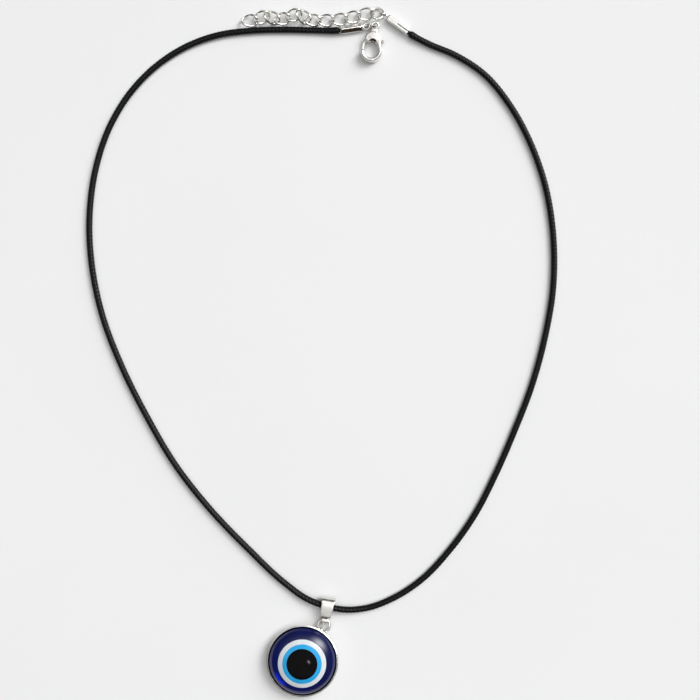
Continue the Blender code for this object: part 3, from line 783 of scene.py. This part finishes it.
def make_eye():
    """Navy, white, light blue and black, each a part of one glossy dome."""
    navy = navy_resin()
    white = enamel("white_enamel", (0.62, 0.66, 0.69), (0.67, 0.71, 0.74))
    blue = enamel("blue_enamel", (0.016, 0.33, 0.68), (0.026, 0.37, 0.73))
    black = enamel("black_enamel", (0.0015, 0.0015, 0.002), (0.003, 0.003, 0.0035), 0.07)
    layers = (
        ("navy_dome", "eye_base", "navy_glass", navy, WHITE_RADIUS, EYE_RADIUS, 24),
        ("white_ring", "eye_white", "white_glass", white, BLUE_RADIUS, WHITE_RADIUS, 8),
        ("blue_ring", "eye_blue", "sky_glass", blue, PUPIL_RADIUS, BLUE_RADIUS, 8),
        ("black_pupil", "eye_pupil", "black_glass", black, 0.0, PUPIL_RADIUS, 24),
    )
    for name, node, slot, material, inner, outer, steps in layers:
        profile = dome_profile(inner, outer, steps)
        if inner:
            profile.insert(0, (0.0, dome_height(inner) - 0.005))
        if outer == EYE_RADIUS:
            profile += [(EYE_BASE_RADIUS, EYE_BASE), (0.0, EYE_BASE)]
        else:
            profile.append((0.0, dome_height(outer)))
        finish(turned(name, profile), "pendant", slot, material, node)


def make_bezel(metal):
    """The cast tray, with a finely milled edge round its rim."""
    edge = [
        (SEAT_RADIUS, BEZEL_HEIGHT - 0.14),
        (SEAT_RADIUS + 0.03, BEZEL_HEIGHT - 0.04),
        (SEAT_RADIUS + 0.09, BEZEL_HEIGHT),
        (SEAT_RADIUS + 0.17, BEZEL_HEIGHT),
        (PENDANT_RADIUS - 0.16, BEZEL_HEIGHT - 0.05),
        (PENDANT_RADIUS - 0.05, BEZEL_HEIGHT - 0.11),
        (PENDANT_RADIUS, BEZEL_HEIGHT - 0.2),
        (PENDANT_RADIUS, BEZEL_HEIGHT - 0.4),
        (PENDANT_RADIUS, FLARE_HEIGHT + 0.1),
        (PENDANT_RADIUS - 0.06, FLARE_HEIGHT - 0.06),
    ]
    profile = [(0.0, SEAT_FLOOR), (SEAT_FLOOR_RADIUS, SEAT_FLOOR), (SEAT_RADIUS, SEAT_SHOULDER)]
    profile += edge
    profile += [(BACK_RADIUS + 0.35, 0.22), (BACK_RADIUS + 0.2, 0.06)]
    profile += [(BACK_RADIUS, 0.0), (0.0, 0.0)]

    def ribs(radius, height, angle):
        if radius < PENDANT_RADIUS - 0.2:
            return radius
        wave = 0.5 + 0.5 * math.cos(BEZEL_RIBS * angle)
        return radius - RIB_DEPTH * (1.0 - wave) ** 2

    tray = turned("pendant_tray", profile, BEZEL_RIBS * 6, ribs)
    finish(tray, "pendant", "plated_metal", metal, "bezel")
    outward = heading(LOOP_DIRECTION)
    centre = outward * LOOP_DISTANCE + Vector((0, 0, LOOP_HEIGHT))
    place = axes(centre, outward, outward.cross(UP))
    spread = np.linspace(0, 2 * math.pi, 48, endpoint=False)
    circle = np.stack([np.cos(spread), np.sin(spread), 0 * spread], 1) * LOOP_RADIUS
    loop = tube("pendant_loop", circle, LOOP_WIRE / 2, closed=True, place=place)
    finish(loop, "pendant", "plated_metal", metal)


def bail_ring_centre():
    centre = heading(LOOP_DIRECTION, LOOP_DISTANCE + BAIL_RING_RADIUS)
    centre.z = LOOP_HEIGHT
    return centre


def arc(centre, radius, start, end, count):
    spread = np.radians(np.linspace(start, end, count + 1))
    return [
        (centre[0] + radius * math.cos(a), centre[1] + radius * math.sin(a)) for a in spread
    ]


def make_bail(metal):
    """The strip folded over the cord: its front tapers to a tip, its back to a rolled eye."""
    eye = (BAIL_FOLD_TO_EYE, BAIL_EYE_RADIUS + BAIL_STRIP / 2)
    fold = (0.0, BAIL_FOLD_RADIUS + BAIL_STRIP / 2)
    back = arc(fold, BAIL_FOLD_RADIUS, 78, 270, 24)[1:]
    back += [(step, BAIL_STRIP / 2) for step in (1.2, 2.4, 3.6)]
    back += arc(eye, BAIL_EYE_RADIUS, 270, 515, 28)
    across = np.linspace(-1.0, 1.0, 9)
    points, faces = [], []
    for path, end, end_width in (
        (BAIL_FRONT, BAIL_TIP, BAIL_TIP_WIDTH),
        (back, eye[0] - BAIL_EYE_RADIUS, BAIL_END_WIDTH),
    ):
        for along, height in path:
            share = min(1.0, (along + BAIL_FOLD_RADIUS) / (end + BAIL_FOLD_RADIUS))
            half = (BAIL_TOP_WIDTH + (end_width - BAIL_TOP_WIDTH) * share) / 2
            points += [(along - eye[0], side * half, height - eye[1]) for side in across]
    width = len(across)
    for row in range(len(BAIL_FRONT) + len(back) - 1):
        for k in range(width - 1):
            first = row * width + k
            faces.append((first, first + 1, first + width + 1, first + width))
    out = heading(BAIL_HEADING)
    centre = bail_ring_centre() - out * (BAIL_RING_RADIUS - BAIL_RING_PLAY)
    obj = piece("bail_strip", points, faces, place=axes(centre, out, UP), sharp=80)
    thick = obj.modifiers.new("Thickness", "SOLIDIFY")
    thick.thickness = BAIL_STRIP * MM
    thick.offset = 0.0
    thick.use_even_offset = True
    rounded = obj.modifiers.new("Rounded", "BEVEL")
    rounded.width = BAIL_ROUNDING * MM
    rounded.segments = 4
    rounded.limit_method = "ANGLE"
    rounded.angle_limit = math.radians(50)
    finish(obj, "bail", "plated_metal", metal, "bail")


def make_rings(metal):
    spots = Matrix.Translation(bail_ring_centre())
    points = ring_points(BAIL_RING_RADIUS, 150.0)
    obj = tube("bail_jump_ring", points, blunt(points, BAIL_RING_WIRE / 2), place=spots)
    finish(obj, "bail_ring", "plated_metal", metal, "bail_ring")

    chord = CLASP_EYE - LEFT_END_EYE
    side = chord.cross(UP).normalized()
    rise = math.sqrt(CLASP_RING_RADIUS**2 - (chord.length / 2) ** 2)
    centre = (LEFT_END_EYE + CLASP_EYE) / 2 + side.cross(chord).normalized() * rise
    points = ring_points(CLASP_RING_RADIUS, 80.0)
    place = axes(centre, chord, side)
    obj = tube("clasp_jump_ring", points, blunt(points, CLASP_RING_WIRE / 2), place=place)
    finish(obj, "clasp_ring", "plated_metal", metal, "clasp_ring")

    outward = heading(RIGHT_EYE_HEADING)
    centre = RIGHT_END_EYE + outward * (CHAIN_RING_RADIUS - CHAIN_RING_PLAY)
    tilt = Matrix.Rotation(math.radians(CHAIN_RING_TILT), 4, outward)
    points = ring_points(CHAIN_RING_RADIUS, 250.0)
    place = Matrix.Translation(centre) @ tilt
    obj = tube("chain_jump_ring", points, blunt(points, CHAIN_RING_WIRE / 2), place=place)
    finish(obj, "chain_ring", "chain_metal", metal, "chain_ring")


# Clasp


def side_of(small_at, small, large_at, large, steps, side):
    """Half of an egg's outline, from the top of its small circle to the foot of its large one."""
    lean = math.asin((large - small) / (large_at - small_at))
    turn = np.linspace(0, math.pi / 2 - lean, steps)
    top = [(side * small * math.sin(a), small_at - small * math.cos(a)) for a in turn]
    turn = np.linspace(math.pi / 2 - lean, math.pi, steps)
    foot = [(side * large * math.sin(a), large_at - large * math.cos(a)) for a in turn]
    return top + foot


def hook_outline(steps=26):
    """Round the clasp's body: out past the head, round the hook to its tip and back inside.

    The small steps from GATE_TOP and GATE_BOTTOM round off the two cut ends.
    """
    outer = (HEAD_AT, HEAD_RADIUS, BELLY_AT, BELLY_RADIUS)
    inner = (MOUTH_TOP_AT, MOUTH_TOP_RADIUS, MOUTH_AT, MOUTH_RADIUS)
    back = side_of(*outer, steps, -1)
    front = side_of(*outer, steps, 1)
    tip = [point for point in front if point[1] > GATE_BOTTOM + 0.3]
    cheek = [point for point in front if point[1] < GATE_TOP - 0.1]
    mouth_back = side_of(*inner, steps, -1)
    mouth_front = side_of(*inner, steps, 1)
    mouth_tip = [point for point in mouth_front if point[1] > GATE_BOTTOM + 0.25]
    mouth_cheek = [point for point in mouth_front if point[1] < GATE_TOP + 0.05]
    middle = ((tip[0][0] + mouth_tip[0][0]) / 2, GATE_BOTTOM + 0.02)
    nose = [(middle[0] + TIP_HALF_WIDTH, middle[1] + 0.07), middle]
    nose += [(middle[0] - TIP_HALF_WIDTH, middle[1] + 0.06)]
    path = back + tip[::-1] + nose + mouth_tip + mouth_back[::-1] + mouth_cheek[1:]
    return path + [(cheek[-1][0] - 0.15, GATE_TOP)] + cheek[:0:-1]


def flat_casting(name, outline, thickness, rounding):
    """A plate of this outline with well rounded edges."""
    curve = bpy.data.curves.new(name, "CURVE")
    curve.dimensions = "2D"
    curve.fill_mode = "BOTH"
    curve.extrude = thickness / 2 - rounding
    curve.bevel_depth = rounding
    curve.bevel_resolution = 5
    curve.offset = -rounding
    spline = curve.splines.new("POLY")
    spline.points.add(len(outline) - 1)
    spline.points.foreach_set("co", [v for x, y in outline for v in (x, y, 0.0, 1.0)])
    spline.use_cyclic_u = True
    obj = bpy.data.objects.new(name, curve)
    bpy.context.scene.collection.objects.link(obj)
    graph = bpy.context.evaluated_depsgraph_get()
    mesh = bpy.data.meshes.new_from_object(obj.evaluated_get(graph))
    bpy.data.objects.remove(obj)
    work = bmesh.new()
    work.from_mesh(mesh)
    bmesh.ops.remove_doubles(work, verts=work.verts, dist=1e-4)
    bmesh.ops.recalc_face_normals(work, faces=work.faces)
    work.to_mesh(mesh)
    work.free()
    return mesh


def box_mesh(x_range, y_range, z_range):
    work = bmesh.new()
    bmesh.ops.create_cube(work, size=1.0)
    for vert in work.verts:
        for axis, (low, high) in enumerate((x_range, y_range, z_range)):
            vert.co[axis] = low + (high - low) * (vert.co[axis] + 0.5)
    mesh = bpy.data.meshes.new("box")
    work.to_mesh(mesh)
    work.free()
    return mesh


def combine(obj, mesh, operation):
    """Adds a mesh to an object, or cuts it away."""
    tool = bpy.data.objects.new("tool", mesh)
    bpy.context.scene.collection.objects.link(tool)
    step = obj.modifiers.new("Combine", "BOOLEAN")
    step.operation = operation
    step.solver = "EXACT"
    step.object = tool
    graph = bpy.context.evaluated_depsgraph_get()
    made = bpy.data.meshes.new_from_object(obj.evaluated_get(graph))
    obj.modifiers.clear()
    obj.data = made
    bpy.data.objects.remove(tool)


def ring_mesh(radius, wire, around=64, section=20):
    """A closed ring in the XY plane."""
    turn = np.linspace(0, 2 * math.pi, around, endpoint=False)
    circle = np.stack([radius * np.cos(turn), radius * np.sin(turn), 0 * turn], 1)
    obj = tube("ring", circle / MM, wire / 2 / MM, section, closed=True)
    mesh = obj.data
    bpy.data.objects.remove(obj)
    return mesh


def cone_mesh(foot, top, height, steps):
    """A closed cone or post about Z, with its middle at the origin."""
    work = bmesh.new()
    bmesh.ops.create_cone(
        work, cap_ends=True, segments=steps, radius1=foot, radius2=top, depth=height
    )
    mesh = bpy.data.meshes.new("cone")
    work.to_mesh(mesh)
    work.free()
    return mesh


def mouth_bevel():
    """A cutter that slopes the top of the mouth, so that a link slides in easily."""
    mesh = cone_mesh(BEVEL_NARROW_RADIUS, BEVEL_WIDE_RADIUS, BEVEL_DEPTH * 2, 64)
    mesh.transform(Matrix.Translation(BEVEL_PLACE) @ Matrix.Diagonal((BEVEL_NARROWING, 1, 1, 1)))
    return mesh


def make_clasp_body(metal):
    """The cast hook with its slotted head, worked in millimetres and then put in its place."""
    hook = flat_casting("hook", hook_outline(), CLASP_THICKNESS, CLASP_ROUNDING)
    obj = bpy.data.objects.new("clasp_hook", hook)
    bpy.context.scene.collection.objects.link(obj)
    wide = 2 * BELLY_RADIUS
    half = SLOT_THICKNESS / 2
    combine(obj, box_mesh((-wide, wide), (SLOT_TOP, SLOT_BOTTOM), (-half, half)), "DIFFERENCE")
    hole = cone_mesh(PIN_HOLE, PIN_HOLE, wide, 40)
    hole.transform(Matrix.Translation((*LEVER_PIVOT, 0.0)))
    combine(obj, hole, "DIFFERENCE")
    combine(obj, mouth_bevel(), "DIFFERENCE")
    neck_half = NECK_WIDTH / 2
    neck = [(-neck_half, 1.0), (neck_half, 1.0), (neck_half + 0.15, 2.0), (neck_half + 0.5, 2.5)]
    neck += [(-neck_half - 0.5, 2.5), (-neck_half - 0.15, 2.0)]
    combine(obj, flat_casting("neck", neck, NECK_THICKNESS, NECK_ROUNDING), "UNION")
    combine(obj, ring_mesh(CLASP_EYE_RADIUS, CLASP_EYE_WIRE), "UNION")
    place = axes(CLASP_EYE * MM, heading(CLASP_HEADING - 90), UP)
    obj.data.transform(place @ Matrix.Scale(MM, 4))
    obj.data.shade_smooth()
    obj.data.set_sharp_from_angle(angle=math.radians(38))
    finish(obj, "clasp", "plated_metal", metal, "clasp_body")


# Chain


def link_points(cut_at, count=90):
    """A curb link's centreline: a squared oval, twisted about its length, with a fine cut."""
    half = RING_CUT / 5.0
    angle = np.linspace(half, 2 * math.pi - half, count) + math.radians(cut_at)
    x, y = np.cos(angle), np.sin(angle)
    power = 2 / LINK_SQUARENESS
    x = LINK_HALF_LENGTH * np.copysign(np.abs(x) ** power, x)
    y = LINK_HALF_WIDTH * np.copysign(np.abs(y) ** power, y)
    twist = np.radians(LINK_TWIST) * x / LINK_HALF_LENGTH
    return np.stack([x, y * np.cos(twist), y * np.sin(twist)], 1)


def make_chain(metal):
    centre = FIRST_LINK
    before = None
    for index, (yaw, rise, roll, spacing) in enumerate(CHAIN_LAY):
        turn = (
            Matrix.Rotation(math.radians(yaw), 4, "Z")
            @ Matrix.Rotation(math.radians(-rise), 4, "Y")
            @ Matrix.Rotation(math.radians(roll), 4, "X")
        )
        ahead = turn.to_3x3() @ Vector((1, 0, 0))
        if before:
            centre = centre + (before + ahead) * spacing / 2
        node = f"chain_link_{index + 1:02d}"
        points = link_points(90.0 if index % 2 else 270.0)
        radii = blunt(points, LINK_WIRE / 2, 0.04)
        place = Matrix.Translation(centre) @ turn
        obj = tube(f"curb_link_{index + 1:02d}", points, radii, place=place)
        finish(obj, node, "chain_metal", metal, node)
        before = ahead


# Cast parts that keep the CAD's shape, and the parts inside


def make_castings(metal):
    left = tumbled("cord_end_left", *SLEEVE_FINISH)
    rolled(left, LEFT_END_MOUTH, LEFT_END_EYE, LEFT_END_LENGTH, LEFT_END_ROLL)
    finish(left, "cord_and_ends", "plated_metal", metal, "cord_end_left")
    right = tumbled("cord_end_right", *SLEEVE_FINISH)
    finish(right, "cord_and_ends", "plated_metal", metal, "cord_end_right")
    lever = tumbled("clasp_lever", *LEVER_FINISH)
    finish(lever, "clasp_lever", "plated_metal", metal, "clasp_lever")


def dress_inner_parts(metal):
    for node, material in (
        ("clasp_pin", metal),
        ("clasp_spring", plated_metal("spring_wire", (0.5, 0.5, 0.5), (0.35, 0.34, 0.33))),
        ("glue_film", enamel("clear_glue", (0.7, 0.68, 0.6), (0.8, 0.78, 0.7))),
    ):
        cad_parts[node].data.materials.clear()
        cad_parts[node].data.materials.append(material)


# Assembly

silver = plated_metal("silver_plate")
wire_silver = plated_metal("wire_silver", rough=(0.06, 0.12))
cast_silver = plated_metal("cast_silver", rough=(0.09, 0.2))
satin_silver = plated_metal("satin_silver", rough=(0.2, 0.28))
make_eye()
make_bezel(silver)
make_bail(satin_silver)
make_rings(wire_silver)
make_clasp_body(cast_silver)
make_chain(wire_silver)
make_castings(cast_silver)
dress_inner_parts(silver)
